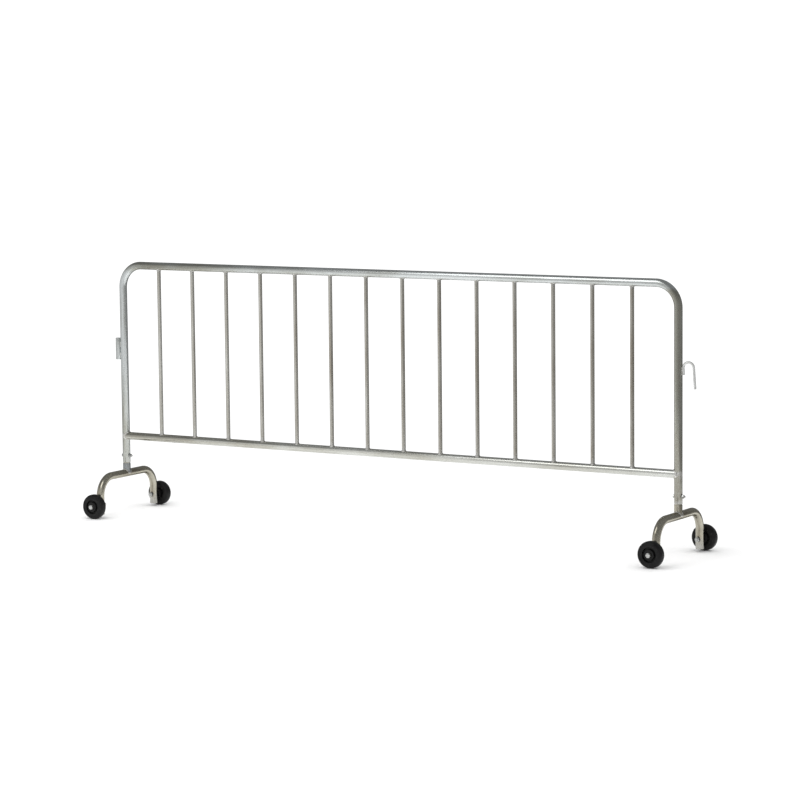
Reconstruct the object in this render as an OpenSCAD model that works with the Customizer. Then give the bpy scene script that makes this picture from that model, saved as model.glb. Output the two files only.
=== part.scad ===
// Crowd control barrier: a welded steel tube frame on two bolt-on arched wheel bases.
// X runs along the barrier, Y across it, Z up. The floor is z = 0 and the origin is the
// middle of the whole footprint, so the panel sits a little towards the sleeve end.

/* [Frame] */
// Length over the two posts
frame_length = 2590; // [1800:5:3200]
// Floor to the top of the top rail
frame_height = 1050.5; // [850:0.5:1270]
// Outer diameter of the frame tube
tube_od = 31.75; // [26:0.05:40]
// Wall of the frame tube
tube_wall = 1.65; // [1.2:0.05:2.5]
// Centreline radius of the two top corners
corner_r = 92; // [60:1:150]
// Floor to the bottom rail's centreline
bottom_rail_z = 321; // [295:1:400]

/* [Pickets] */
// Outer diameter of a picket
picket_od = 15.9; // [12:0.1:20]
// Wall of a picket
picket_wall = 1.2; // [0.8:0.1:2]
// Left post's centreline to the first picket's centreline
left_gap = 184; // [120:1:240]
// Last picket's centreline to the right post's centreline
right_gap = 192; // [120:1:240]

/* [Base] */
// Distance between the two leg centrelines of a base
leg_spacing = 370; // [300:1:460]
// Floor to the centreline of a base's cross tube
base_top_z = 164; // [135:1:200]
// Centreline radius of a base's two bends
base_bend_r = 77; // [50:1:110]
// Floor to the cut lower end of a leg
leg_foot_z = 12; // [6:1:25]
// Height of the collar above the crest of the cross tube
collar_height = 26; // [12:0.5:40]
// Gap left between the collar and the end of the post
post_gap = 3.5; // [0.5:0.1:6]
// How far the spigot reaches up inside the post
spigot_reach = 75; // [50:1:120]
// Wall of the spigot
spigot_wall = 2; // [1.5:0.1:3]

/* [Wheels] */
// Outer diameter of a wheel
wheel_d = 101.6; // [80:0.1:125]
// Width of a wheel over its side faces
wheel_width = 36; // [28:0.5:50]
// Gap between a leg and the near side face of its wheel
wheel_offset = 9.5; // [6:0.5:20]
// Outer diameter of the ring recess in a wheel's side
recess_d = 57; // [50:0.5:66]
// Outer diameter of a wheel's hub
hub_d = 40; // [28:0.5:46]
// Depth of the ring recess
recess_depth = 11; // [4:0.5:15]
// Radius of a wheel's rounded shoulders
shoulder_r = 9; // [3:0.5:12]
// Outer diameter of the sleeve that a wheel turns on
axle_sleeve_od = 14; // [12.5:0.1:18]

/* [Link] */
// Diameter of the coupling hook's rod
hook_rod_d = 9.5; // [7:0.1:13]
// Shank to leg of the coupling hook, centre to centre
hook_span = 43; // [40:0.5:60]
// Floor to the underside of the hook's arc
hook_seat_z = 737.5; // [650:0.5:800]
// Length of the hook's straight leg
hook_leg_length = 80; // [40:1:100]
// Outward lean of the hook's leg in degrees
hook_lean = 4; // [0:0.5:8]
// Length of the hook's welded shank
shank_length = 25; // [12:1:40]
// Length of the weld along the shank, from the shank's lower end up
hook_weld_length = 31; // [12:1:40]
// Outer diameter of the coupling sleeve
sleeve_od = 25.4; // [20:0.1:30]
// Wall of the coupling sleeve
sleeve_wall = 2.6; // [1.5:0.1:4]
// Length of the coupling sleeve
sleeve_length = 89.5; // [60:0.5:120]
// Room between a seated hook's arc and the sleeve's top
hook_seat_clear = 7.5; // [0:0.5:12]

/* [Fasteners] */
// Thread diameter of an axle bolt
axle_bolt_d = 10; // [8:1:10]
// Thread diameter of a base bolt
base_bolt_d = 8; // [6:1:10]
// Height of a base bolt above the end of the post
base_bolt_rise = 28; // [18:1:45]
// Thread left standing past an axle nut
axle_tail = 2.5; // [0.5:0.1:8]
// Thread left standing past a base nut
base_tail = 5; // [0.5:0.1:10]

/* [Clearances and welds] */
// Radial clearance of a wheel on its axle sleeve
axle_clear = 0.08; // [0.03:0.01:0.1]
// End play of a wheel, on each side
wheel_play = 0.5; // [0.35:0.05:1.5]
// Radial clearance of the spigot in the post
spigot_clear = 0.45; // [0.1:0.05:1]
// Radial clearance of a bolt in its holes
bolt_clear = 0.3; // [0.2:0.05:1]
// Radial clearance of a nut or washer on its bolt
thread_clear = 0.05; // [0.02:0.01:0.3]
// Root gap left between two pieces that are welded
root_gap = 0.15; // [0.1:0.05:0.5]
// Clearance between a weld bead and the pieces that it joins
bead_clear = 0.05; // [0.02:0.01:0.1]
// Leg of a picket's weld bead
picket_bead = 2.4; // [1:0.1:4]
// Leg of a weld bead on the frame tube
tube_bead = 3; // [1.5:0.1:5]

/* [Hidden] */
picket_count = 14;
ends = ["left", "right"];
sides = ["front", "back"];
picket_names = [for (i = [1 : picket_count]) str("picket_", i < 10 ? "0" : "", i)];
base_names = [for (e = ends) str(e, "_base_tube")];
collar_names = [for (e = ends) str(e, "_base_collar")];
spigot_names = [for (e = ends) str(e, "_base_spigot")];
wheel_names = [for (e = ends, s = sides) str(e, "_", s, "_wheel")];
axle_sleeve_names = [for (e = ends, s = sides) str(e, "_", s, "_axle_sleeve")];
axle_bolt_names = [for (e = ends, s = sides) str(e, "_", s, "_axle_bolt")];

$fn = 64;
eps = 0.5;                          // overshoot of a cut past an open end
steel = "#a9aaa4";
base_steel = "#8d8a7c";
zinc = "#c4c6c8";
bead_steel = "#b9bab6";
wheel_black = "#1d1e1f";

// Frame
post_spacing = frame_length - tube_od;
tube_id = tube_od - 2 * tube_wall;
top_z = frame_height - tube_od / 2;
picket_pitch = (post_spacing - left_gap - right_gap) / (picket_count - 1);
picket_length = top_z - bottom_rail_z;
collar_top_z = base_top_z + tube_od / 2 + collar_height;
post_end_z = collar_top_z + post_gap;
base_bolt_z = post_end_z + base_bolt_rise;
spigot_od = tube_id - 2 * spigot_clear;

// Hook and sleeve, measured outwards from a post's centreline
shank_x = tube_od / 2 + root_gap + hook_rod_d / 2;
arc_r = hook_span / 2;
shank_top_z = hook_seat_z + hook_rod_d / 2 - arc_r - arc_r * sin(hook_lean);
hook_tip_chamfer = 1.5;
hook_reach = shank_x
           + (hook_span + hook_rod_d / 2) * cos(hook_lean)
           + (hook_leg_length - hook_tip_chamfer) * sin(hook_lean);
sleeve_x = tube_od / 2 + root_gap + sleeve_od / 2;
sleeve_top_z = hook_seat_z - hook_seat_clear;
sleeve_reach = sleeve_x + sleeve_od / 2;

// Fasteners, as head or nut height, width across flats, washer diameter and thickness
function head_height(d) = 0.64 * d;
function nut_height(d) = 0.82 * d;
function flats(d) = d < 9 ? 1.62 * d : 1.7 * d;
function washer_d(d) = 2 * d + 0.5;
function washer_thick(d) = 0.2 * d;

// Wheel stack, measured outwards along Y from the barrier's middle plane
leg_y = leg_spacing / 2;
leg_face_y = leg_y + tube_od / 2;
wheel_y = leg_face_y + wheel_offset + wheel_width / 2;
hub_inner_y = leg_face_y + washer_thick(axle_bolt_d) + wheel_play;
hub_outer_y = wheel_y + wheel_width / 2;
sleeve_inner_y = hub_inner_y - wheel_play;
sleeve_outer_y = hub_outer_y + wheel_play;
head_y = sleeve_outer_y + washer_thick(axle_bolt_d);
nut_y = leg_y - tube_od / 2 - washer_thick(axle_bolt_d) - nut_height(axle_bolt_d);
axle_z = wheel_d / 2;
axle_sleeve_id = axle_bolt_d + 2 * bolt_clear;

// The posts' middle, with the origin at the middle of the whole length
left_reach = max(sleeve_reach, wheel_d / 2);
right_reach = max(hook_reach, wheel_d / 2);
panel_x = (left_reach - right_reach) / 2;
function end_x(e) = panel_x + (e == 0 ? -1 : 1) * post_spacing / 2;
function picket_x(i) = panel_x - post_spacing / 2 + left_gap + i * picket_pitch;

// ---- shared shapes ----

// An upside-down U in the XZ plane, its legs ending at z = foot. Each half starts from its
// bend's centre, so that the leg and half the top meet the bend exactly.
module arch(span, top, bend, d, foot) {
    run = span / 2 - bend;
    for (m = [0, 1])
        mirror([m, 0, 0])
            translate([run, 0, top - bend]) {
                rotate([90, 0, 0])
                    rotate_extrude(angle = 90)
                        translate([bend, 0])
                            circle(d = d);
                translate([bend, 0, foot + bend - top])
                    cylinder(d = d, h = top - bend - foot);
                translate([0, 0, bend])
                    rotate([0, -90, 0])
                        cylinder(d = d, h = run);
            }
}

module x_rod(d, from, to) {
    translate([from, 0, 0])
        rotate([0, 90, 0])
            cylinder(d = d, h = to - from);
}

module y_rod(d, from, to) {
    translate([0, from, 0])
        rotate([-90, 0, 0])
            cylinder(d = d, h = to - from);
}

// A hexagon prism along Z with its corners rounded off at one end, as a bolt head or nut
module hexagon(af, h) {
    intersection() {
        cylinder(d = af / cos(30), h = h, $fn = 6);
        union() {
            cylinder(d = af * 1.2, h = h - 0.1 * af);
            translate([0, 0, h - 0.1 * af])
                cylinder(d1 = af * 1.2, d2 = af * 0.95, h = 0.1 * af);
        }
    }
}

// A hexagon bolt along Z: head on z > 0, thread running down to z = -length
module hex_bolt(d, length) {
    hexagon(flats(d), head_height(d));
    translate([0, 0, -length])
        cylinder(d1 = d - 2, d2 = d, h = 1);
    translate([0, 0, 1 - length])
        cylinder(d = d, h = length - 1);
}

module hex_nut(d) {
    difference() {
        hexagon(flats(d), nut_height(d));
        translate([0, 0, -eps])
            cylinder(d = d + 2 * thread_clear, h = nut_height(d) + 2 * eps);
    }
}

module washer(d) {
    difference() {
        cylinder(d = washer_d(d), h = washer_thick(d));
        translate([0, 0, -eps])
            cylinder(d = d + 2 * thread_clear, h = washer_thick(d) + 2 * eps);
    }
}

// Places its children on a wheel's axle, with +Z running outwards from the middle plane
module on_axle(e, s) {
    translate([end_x(e), 0, axle_z])
        mirror([0, s == 0 ? 1 : 0, 0])
            rotate([-90, 0, 0])
                children();
}

// ---- welded panel ----

module outer_frame_tube() {
    color(steel)
        translate([panel_x, 0, 0])
            difference() {
                arch(post_spacing, top_z, corner_r, tube_od, post_end_z);
                arch(post_spacing, top_z, corner_r, tube_id, post_end_z - eps);
                for (e = [-1, 1])
                    translate([e * post_spacing / 2, 0, base_bolt_z])
                        x_rod(base_bolt_d + 2 * bolt_clear, -tube_od, tube_od);
            }
}

module bottom_rail() {
    color(steel)
        difference() {
            translate([panel_x, 0, bottom_rail_z])
                difference() {
                    x_rod(tube_od, -post_spacing / 2, post_spacing / 2);
                    x_rod(tube_id, -post_spacing / 2 - eps, post_spacing / 2 + eps);
                }
            for (e = [0, 1])
                translate([end_x(e), 0, bottom_rail_z - tube_od])
                    cylinder(d = tube_od + 2 * root_gap, h = 2 * tube_od);
        }
}

module picket(i) {
    color(steel)
        difference() {
            translate([picket_x(i), 0, bottom_rail_z])
                difference() {
                    cylinder(d = picket_od, h = picket_length);
                    translate([0, 0, -eps])
                        cylinder(d = picket_od - 2 * picket_wall, h = picket_length + 2 * eps);
                }
            for (z = [bottom_rail_z, top_z])
                translate([picket_x(i), 0, z])
                    x_rod(tube_od + 2 * root_gap, -picket_od, picket_od);
        }
}

// The bead round a picket where it stands on the rail at z, up = 1 or hanging below it, -1
module picket_bead(i, z, up) {
    translate([picket_x(i), 0, z])
        difference() {
            intersection() {
                mirror([0, 0, up < 0 ? 1 : 0])
                    cylinder(d = picket_od + 2 * picket_bead, h = tube_od);
                x_rod(tube_od + 2 * picket_bead, -picket_od, picket_od);
            }
            x_rod(tube_od + 2 * bead_clear, -picket_od - eps, picket_od + eps);
            translate([0, 0, -tube_od - eps])
                cylinder(d = picket_od + 2 * bead_clear, h = 2 * (tube_od + eps));
        }
}

module picket_top_welds() {
    color(bead_steel)
        for (i = [0 : picket_count - 1])
            picket_bead(i, top_z, -1);
}

module picket_bottom_welds() {
    color(bead_steel)
        for (i = [0 : picket_count - 1])
            picket_bead(i, bottom_rail_z, 1);
}

// The beads that join the ends of the bottom rail to the posts
module rail_welds() {
    color(bead_steel)
        for (e = [0, 1])
            translate([end_x(e), 0, bottom_rail_z])
                mirror([e, 0, 0])
                    difference() {
                        intersection() {
                            x_rod(tube_od + 2 * tube_bead, tube_od / 8, tube_od);
                            translate([0, 0, -tube_od])
                                cylinder(d = tube_od + 2 * tube_bead, h = 2 * tube_od);
                        }
                        x_rod(tube_od + 2 * bead_clear, 0, tube_od + eps);
                        translate([0, 0, -tube_od - eps])
                            cylinder(d = tube_od + 2 * bead_clear, h = 2 * (tube_od + eps));
                    }
}

// ---- link ----

// The rod is bent in its own plane, then leans as one about the top of its shank
module coupling_hook() {
    color(zinc)
        translate([end_x(1) + shank_x, 0, shank_top_z])
            rotate([0, -hook_lean, 0]) {
                translate([0, 0, -shank_length])
                    cylinder(d = hook_rod_d, h = shank_length);
                translate([arc_r, 0, 0])
                    rotate([90, 0, 0])
                        rotate_extrude(angle = 180)
                            translate([arc_r, 0])
                                circle(d = hook_rod_d);
                translate([hook_span, 0, hook_tip_chamfer - hook_leg_length])
                    cylinder(d = hook_rod_d, h = hook_leg_length - hook_tip_chamfer);
                translate([hook_span, 0, -hook_leg_length])
                    cylinder(d1 = hook_rod_d - 2 * hook_tip_chamfer, d2 = hook_rod_d,
                             h = hook_tip_chamfer);
            }
}

module coupling_sleeve() {
    color(steel)
        translate([end_x(0) - sleeve_x, 0, sleeve_top_z - sleeve_length])
            difference() {
                cylinder(d = sleeve_od, h = sleeve_length);
                translate([0, 0, -eps])
                    cylinder(d = sleeve_od - 2 * sleeve_wall, h = sleeve_length + 2 * eps);
            }
}

// A bead that fills both grooves between a post and a round bar of diameter d beside it,
// which leans away from the post below the height of its pivot
module groove_bead(d, length, pivot = 0, lean = 0) {
    module bar(grow) {
        translate([tube_od / 2 + root_gap + d / 2, 0, pivot])
            rotate([0, -lean, 0])
                translate([0, 0, -2 * length])
                    cylinder(d = d + 2 * grow, h = 4 * length);
    }
    difference() {
        intersection() {
            cylinder(d = tube_od + 2 * tube_bead, h = length);
            bar(tube_bead);
        }
        translate([0, 0, -eps])
            cylinder(d = tube_od + 2 * bead_clear, h = length + 2 * eps);
        bar(bead_clear);
    }
}

module hook_weld() {
    color(bead_steel)
        translate([end_x(1), 0, shank_top_z - shank_length])
            groove_bead(hook_rod_d, hook_weld_length, shank_length, hook_lean);
}

// Two stitches, one near each end of the sleeve
module sleeve_welds() {
    color(bead_steel)
        for (share = [0.08, 0.58])
            translate([end_x(0), 0, sleeve_top_z - (1 - share) * sleeve_length])
                mirror([1, 0, 0])
                    groove_bead(sleeve_od, 0.24 * sleeve_length);
}

// ---- bases ----

module base_tube(e) {
    color(base_steel)
        translate([end_x(e), 0, 0])
            difference() {
                rotate([0, 0, 90])
                    arch(leg_spacing, base_top_z, base_bend_r, tube_od, leg_foot_z);
                rotate([0, 0, 90])
                    arch(leg_spacing, base_top_z, base_bend_r, tube_id, leg_foot_z - eps);
                for (s = [-1, 1])
                    translate([0, s * leg_y, axle_z])
                        y_rod(axle_bolt_d + 2 * bolt_clear, -tube_od, tube_od);
            }
}

module base_collar(e) {
    color(base_steel)
        difference() {
            translate([end_x(e), 0, base_top_z])
                difference() {
                    cylinder(d = tube_od, h = collar_top_z - base_top_z);
                    translate([0, 0, -eps])
                        cylinder(d = spigot_od + 2 * root_gap, h = tube_od + collar_height);
                }
            translate([end_x(e), 0, base_top_z])
                y_rod(tube_od + 2 * root_gap, -tube_od, tube_od);
        }
}

module base_spigot(e) {
    color(base_steel)
        difference() {
            translate([end_x(e), 0, base_top_z])
                difference() {
                    cylinder(d = spigot_od, h = post_end_z + spigot_reach - base_top_z);
                    translate([0, 0, -eps])
                        cylinder(d = spigot_od - 2 * spigot_wall,
                                 h = post_end_z + spigot_reach - base_top_z + 2 * eps);
                }
            translate([end_x(e), 0, base_top_z])
                y_rod(tube_od + 2 * root_gap, -tube_od, tube_od);
            translate([end_x(e), 0, base_bolt_z])
                x_rod(base_bolt_d + 2 * bolt_clear, -tube_od, tube_od);
        }
}

module collar_welds() {
    color(bead_steel)
        for (e = [0, 1])
            translate([end_x(e), 0, base_top_z])
                difference() {
                    intersection() {
                        translate([0, 0, tube_od / 8])
                            cylinder(d = tube_od + 2 * tube_bead, h = tube_od);
                        y_rod(tube_od + 2 * tube_bead, -tube_od, tube_od);
                    }
                    cylinder(d = tube_od + 2 * bead_clear, h = 2 * tube_od);
                    y_rod(tube_od + 2 * bead_clear, -tube_od - eps, tube_od + eps);
                }
}

module at_base_bolt(e) {
    translate([end_x(e), 0, base_bolt_z])
        rotate([0, 90, 0])
            children();
}

module base_bolts() {
    grip = tube_od + washer_thick(base_bolt_d) + nut_height(base_bolt_d) + base_tail;
    color(zinc)
        for (e = [0, 1])
            at_base_bolt(e)
                mirror([0, 0, 1])
                    translate([0, 0, tube_od / 2])
                        hex_bolt(base_bolt_d, grip);
}

module base_washers() {
    color(zinc)
        for (e = [0, 1])
            at_base_bolt(e)
                translate([0, 0, tube_od / 2])
                    washer(base_bolt_d);
}

module base_nuts() {
    color(zinc)
        for (e = [0, 1])
            at_base_bolt(e)
                translate([0, 0, tube_od / 2 + washer_thick(base_bolt_d)])
                    hex_nut(base_bolt_d);
}

// ---- wheels ----

// Half section of a wheel, radius along X and the axle along Y, the outer face up
module wheel_section() {
    half = wheel_width / 2;
    hub_in = hub_inner_y - wheel_y;
    bore_r = axle_sleeve_od / 2 + axle_clear;
    translate([bore_r, hub_in])
        square([hub_d / 2 - bore_r, half - hub_in]);
    translate([bore_r, recess_depth - half])
        square([recess_d / 2 - bore_r + 1, wheel_width - 2 * recess_depth]);
    translate([recess_d / 2, -half])
        square([wheel_d / 2 - shoulder_r - recess_d / 2, wheel_width]);
    translate([recess_d / 2, shoulder_r - half])
        square([wheel_d / 2 - recess_d / 2, wheel_width - 2 * shoulder_r]);
    for (m = [-1, 1])
        translate([wheel_d / 2 - shoulder_r, m * (half - shoulder_r)])
            circle(r = shoulder_r);
}

module wheel(e, s) {
    color(wheel_black)
        on_axle(e, s)
            translate([0, 0, wheel_y])
                rotate_extrude()
                    wheel_section();
}

module axle_sleeve(e, s) {
    color(zinc)
        on_axle(e, s)
            translate([0, 0, sleeve_inner_y])
                difference() {
                    cylinder(d = axle_sleeve_od, h = sleeve_outer_y - sleeve_inner_y);
                    translate([0, 0, -eps])
                        cylinder(d = axle_sleeve_id,
                                 h = sleeve_outer_y - sleeve_inner_y + 2 * eps);
                }
}

module axle_bolt(e, s) {
    color(zinc)
        on_axle(e, s)
            translate([0, 0, head_y])
                hex_bolt(axle_bolt_d, head_y - nut_y + axle_tail);
}

// One washer under each head, one against each side of the leg
module axle_washers() {
    color(zinc)
        for (e = [0, 1], s = [0, 1])
            on_axle(e, s)
                for (y = [sleeve_outer_y, leg_face_y, nut_y + nut_height(axle_bolt_d)])
                    translate([0, 0, y])
                        washer(axle_bolt_d);
}

module axle_nuts() {
    color(zinc)
        for (e = [0, 1], s = [0, 1])
            on_axle(e, s)
                translate([0, 0, nut_y + nut_height(axle_bolt_d)])
                    mirror([0, 0, 1])
                        hex_nut(axle_bolt_d);
}

// ---- the nodes ----

outer_frame_tube();
bottom_rail();
for (i = [0 : picket_count - 1])
    picket(i);
coupling_hook();
coupling_sleeve();
for (e = [0, 1]) {
    base_tube(e);
    base_collar(e);
    base_spigot(e);
    for (s = [0, 1]) {
        wheel(e, s);
        axle_sleeve(e, s);
        axle_bolt(e, s);
    }
}
base_bolts();
base_washers();
base_nuts();
axle_washers();
axle_nuts();
picket_top_welds();
picket_bottom_welds();
rail_welds();
hook_weld();
sleeve_welds();
collar_welds();
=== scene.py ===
from math import atan2, cos, hypot, pi, radians, sin, sqrt

import bmesh
import bpy
from mathutils import Matrix, Vector, noise


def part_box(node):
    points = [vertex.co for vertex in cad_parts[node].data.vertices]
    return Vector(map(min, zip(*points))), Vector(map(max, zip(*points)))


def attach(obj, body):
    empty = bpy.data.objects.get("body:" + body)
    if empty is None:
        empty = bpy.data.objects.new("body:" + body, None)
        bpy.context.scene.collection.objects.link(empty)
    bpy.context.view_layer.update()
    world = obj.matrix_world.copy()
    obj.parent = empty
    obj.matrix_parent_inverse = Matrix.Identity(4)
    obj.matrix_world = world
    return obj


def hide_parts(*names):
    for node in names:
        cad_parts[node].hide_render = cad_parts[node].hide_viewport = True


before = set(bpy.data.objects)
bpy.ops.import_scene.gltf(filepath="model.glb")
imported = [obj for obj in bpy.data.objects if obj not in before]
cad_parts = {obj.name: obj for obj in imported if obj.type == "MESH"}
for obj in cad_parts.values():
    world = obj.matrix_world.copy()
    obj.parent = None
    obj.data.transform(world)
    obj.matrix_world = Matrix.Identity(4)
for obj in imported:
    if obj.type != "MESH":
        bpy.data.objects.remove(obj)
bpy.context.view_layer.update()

# Everything is in metres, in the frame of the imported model: X runs along the barrier towards
# the hook, Y across it towards the back wheels, and the floor is z = 0.

ENDS = ("left", "right")
SIDES = ("front", "back")
PICKETS = sorted(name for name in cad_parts
                 if name.startswith("picket_") and name[7:].isdigit())

# ---- sizes that the frame's boxes don't give ----

TUBE_WALL = 0.00165
PICKET_WALL = 0.0012
SLEEVE_WALL = 0.0026
SPIGOT_WALL = 0.002

# Bends are measured to the tube's axis.
CORNER_BEND = 0.092
BASE_BEND = 0.077

# ROOT_GAP parts tubes that are welded, FIT parts pieces that slide or turn on each other.
ROOT_GAP = 0.00015
FIT = 0.0001
RIM_EASE = 0.0003

HOOK_SPAN = 0.043
HOOK_LEAN = radians(4)
HOOK_CHAMFER = 0.0015
SHANK = 0.025

# The leg of each bead, the lengths of the straight ones and how many ripples go round a tube.
# SLEEVE_STITCH is a share of the sleeve's length.
PICKET_BEAD = 0.0019
RAIL_BEAD = 0.0026
STUB_BEAD = 0.0027
HOOK_BEAD = 0.0030
HOOK_WELD = 0.031
SLEEVE_BEAD = 0.0026
SLEEVE_STITCH = 0.24
PICKET_RIPPLES = 11
TUBE_RIPPLES = 18

# Radii and depths of a wheel's section; DRAFT is how far its moulded walls lean.
WHEEL_WIDTH = 0.036
WHEEL_HUB = 0.020
WHEEL_RECESS = 0.0285
RECESS_DEPTH = 0.011
SHOULDER = 0.009
LEDGE = 0.002
DRAFT = 0.0006

# Metric threads. THREADED is the length of thread, HEAD_OVERLAP is how far a shank starts
# inside its head, and FACE_SHARE is the radius of a head's flat face as a share of its flats.
AXLE_THREAD = 0.010
BASE_THREAD = 0.008
THREADED = 0.020
PITCH = 0.0015
THREAD_DEPTH = 0.0007
BOLT_CHAMFER = 0.0012
BOLT_TIP = 0.001
HEAD_OVERLAP = 0.001
COUNTERSINK = 0.0007
CHAMFER_SLOPE = radians(30)
FACE_SHARE = 0.475

# How finely round shapes are divided.
TUBE_FACETS = 64
PICKET_FACETS = 40
ROD_FACETS = 32
WHEEL_FACETS = 96
BEND_STEPS = 28
CHAMFER_CUTS = 30


def size_of(node):
    low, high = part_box(node)
    return high - low


def middle_of(node):
    low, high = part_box(node)
    return (low + high) / 2


TUBE = size_of("outer_frame_tube").y / 2
PICKET = size_of(PICKETS[0]).y / 2
LEFT_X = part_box("outer_frame_tube")[0].x + TUBE
RIGHT_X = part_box("outer_frame_tube")[1].x - TUBE
POST_X = {"left": LEFT_X, "right": RIGHT_X}
SPACING = RIGHT_X - LEFT_X
TOP_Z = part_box("outer_frame_tube")[1].z - TUBE
POST_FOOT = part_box("outer_frame_tube")[0].z
RAIL_Z = middle_of("bottom_rail").z
BASE_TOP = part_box("left_base_tube")[1].z - TUBE
LEG_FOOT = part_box("left_base_tube")[0].z
LEG_SPACING = size_of("left_base_tube").y - 2 * TUBE
AXLE_Z = middle_of("left_front_wheel").z


# ---- shaping ----

def of_kind(geometry, kind):
    """The verts, the edges or the faces in a list of mixed geometry."""
    return [item for item in geometry if isinstance(item, kind)]


def verts_of(edges):
    """The verts that some edges join, each once and always in the same order."""
    return list(dict.fromkeys(vert for edge in edges for vert in edge.verts))


def edges_of(verts):
    """The edges that meet some verts, each once and always in the same order."""
    return list(dict.fromkeys(edge for vert in verts for edge in vert.link_edges))


def rings(bm, radii, facets, place):
    """Circles of edges about one axis, the start of a tube."""
    edges = []
    for radius in radii:
        made = bmesh.ops.create_circle(bm, segments=facets, radius=radius, matrix=place)
        edges += edges_of(made["verts"])
    return edges


def drawn_out(bm, edges, travel):
    """Extrudes rings of edges in a straight line and returns the last ones."""
    new = bmesh.ops.extrude_edge_only(bm, edges=edges)["geom"]
    bmesh.ops.translate(bm, verts=of_kind(new, bmesh.types.BMVert), vec=travel)
    return [edge for edge in of_kind(new, bmesh.types.BMEdge) if edge.is_boundary]


def bent_round(bm, edges, centre, axis, angle, steps):
    """Carries rings of edges round a bend and returns the last ones."""
    last = bmesh.ops.spin(bm, geom=edges + verts_of(edges), cent=centre, axis=axis,
                          angle=angle, steps=steps, use_duplicate=False)["geom_last"]
    return of_kind(last, bmesh.types.BMEdge)


def ring_pair(edges):
    """The two closed rings of verts that the edges of a tube's open end make."""
    beside = {}
    for edge in edges:
        for vert in edge.verts:
            beside.setdefault(vert, []).append(edge.other_vert(vert))
    ring, waiting = set(), [edges[0].verts[0]]
    while waiting:
        vert = waiting.pop()
        if vert not in ring:
            ring.add(vert)
            waiting += beside[vert]
    return ring, set(beside) - ring


def closed_ends(bm, ends, ease=0.0):
    """Joins the outer to the inner ring at each flat open end and eases the rims."""
    for edges in ends:
        ring, other = ring_pair(edges)
        twin = {vert: min(other, key=lambda far: (far.co - vert.co).length) for vert in ring}
        for edge in edges:
            first, second = edge.verts
            if first in ring:
                bm.faces.new((first, second, twin[second], twin[first]))
    bmesh.ops.recalc_face_normals(bm, faces=bm.faces)
    if ease:
        rims = [edge for edges in ends for edge in edges]
        bmesh.ops.bevel(bm, geom=rims, offset=ease, segments=2, profile=0.5,
                        affect="EDGES", material=-1)


def capped(bm, edges):
    """Closes one ring of edges with a flat face."""
    bmesh.ops.edgeloop_fill(bm, edges=edges)


def arch_tube(span, top, bend, foot, outer, wall, facets):
    """A hollow tube bent into an upside-down U in the XZ plane, with its grain laid along it."""
    bm = bmesh.new()
    run, rise = span / 2 - bend, top - bend - foot
    start = rings(bm, (outer, outer - wall), facets, Matrix.Translation((-span / 2, 0, foot)))
    ring = drawn_out(bm, start, Vector((0, 0, rise)))
    ring = bent_round(bm, ring, (-run, 0, top - bend), (0, 1, 0), pi / 2, BEND_STEPS)
    ring = drawn_out(bm, ring, Vector((2 * run, 0, 0)))
    ring = bent_round(bm, ring, (run, 0, top - bend), (0, 1, 0), pi / 2, BEND_STEPS)
    end = drawn_out(bm, ring, Vector((0, 0, -rise)))
    closed_ends(bm, (start, end), ease=RIM_EASE)

    def station(point):
        side = -1 if point.x < 0 else 1
        out, up = abs(point.x) - run, point.z - (top - bend)
        if up < 0:
            return Vector((out - bend, point.y, side * (run + bend * pi / 2 - up)))
        if out < 0:
            return Vector((up - bend, point.y, side * (run + out)))
        turn = atan2(out, up)
        return Vector((hypot(out, up) - bend, point.y, side * (run + bend * turn)))

    lay_grain(bm, station)
    return bm


def straight_tube(outer, wall, low, high, facets, coped=(0, 0), across=1):
    """An upright hollow tube about Z. A coped end is cut to sit on a crossing tube of that
    radius, whose axis is at the given height; across is the axis square to both tubes."""
    bm = bmesh.new()
    start = rings(bm, (outer, outer - wall), facets, Matrix.Translation((0, 0, low)))
    end = drawn_out(bm, start, Vector((0, 0, high - low)))
    closed_ends(bm, (start, end), ease=0 if any(coped) else RIM_EASE)
    for edges, radius, way in ((start, coped[0], 1), (end, coped[1], -1)):
        for vert in verts_of(edges) if radius else ():
            vert.co.z += way * sqrt(max(0, radius ** 2 - vert.co[across] ** 2))
    return bm


def lay_grain(bm, station):
    """Stores where each point would be if its tube were straight and upright, as (x, y, along)."""
    layer = bm.verts.layers.float_vector.new("grain")
    for vert in bm.verts:
        vert[layer] = station(vert.co)


def moved(bm, matrix):
    """Transforms a whole shape and hands it back."""
    bmesh.ops.transform(bm, matrix=matrix, verts=bm.verts)
    return bm


def along_x(bm):
    """Lays an upright shape down along X."""
    return moved(bm, Matrix.Rotation(pi / 2, 4, "Y"))


def turned(outline, steps, eased=()):
    """Spins a closed outline of (radius, height) round Z. eased lists pairs of a corner's
    number and the radius that rounds it."""
    bm = bmesh.new()
    corners = [bm.verts.new((radius, 0, height)) for radius, height in outline]
    for first, second in zip(corners, corners[1:] + corners[:1]):
        bm.edges.new((first, second))
    for number, radius in eased:
        bmesh.ops.bevel(bm, geom=[corners[number]], offset=radius, segments=5, profile=0.5,
                        affect="VERTICES", material=-1)
    bmesh.ops.spin(bm, geom=bm.verts[:] + bm.edges[:], cent=(0, 0, 0), axis=(0, 0, 1),
                   angle=2 * pi, steps=steps, use_merge=True)
    return bm


def joined(*parts):
    """One bmesh that holds every part, each given as a bmesh and the matrices of its copies."""
    whole = bmesh.new()
    for bm, places in parts:
        mesh = bpy.data.meshes.new("part")
        for place in places:
            copy = bm.copy()
            bmesh.ops.transform(copy, matrix=place, verts=copy.verts)
            copy.to_mesh(mesh)
            copy.free()
            whole.from_mesh(mesh)
        bpy.data.meshes.remove(mesh)
        bm.free()
    return whole


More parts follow.
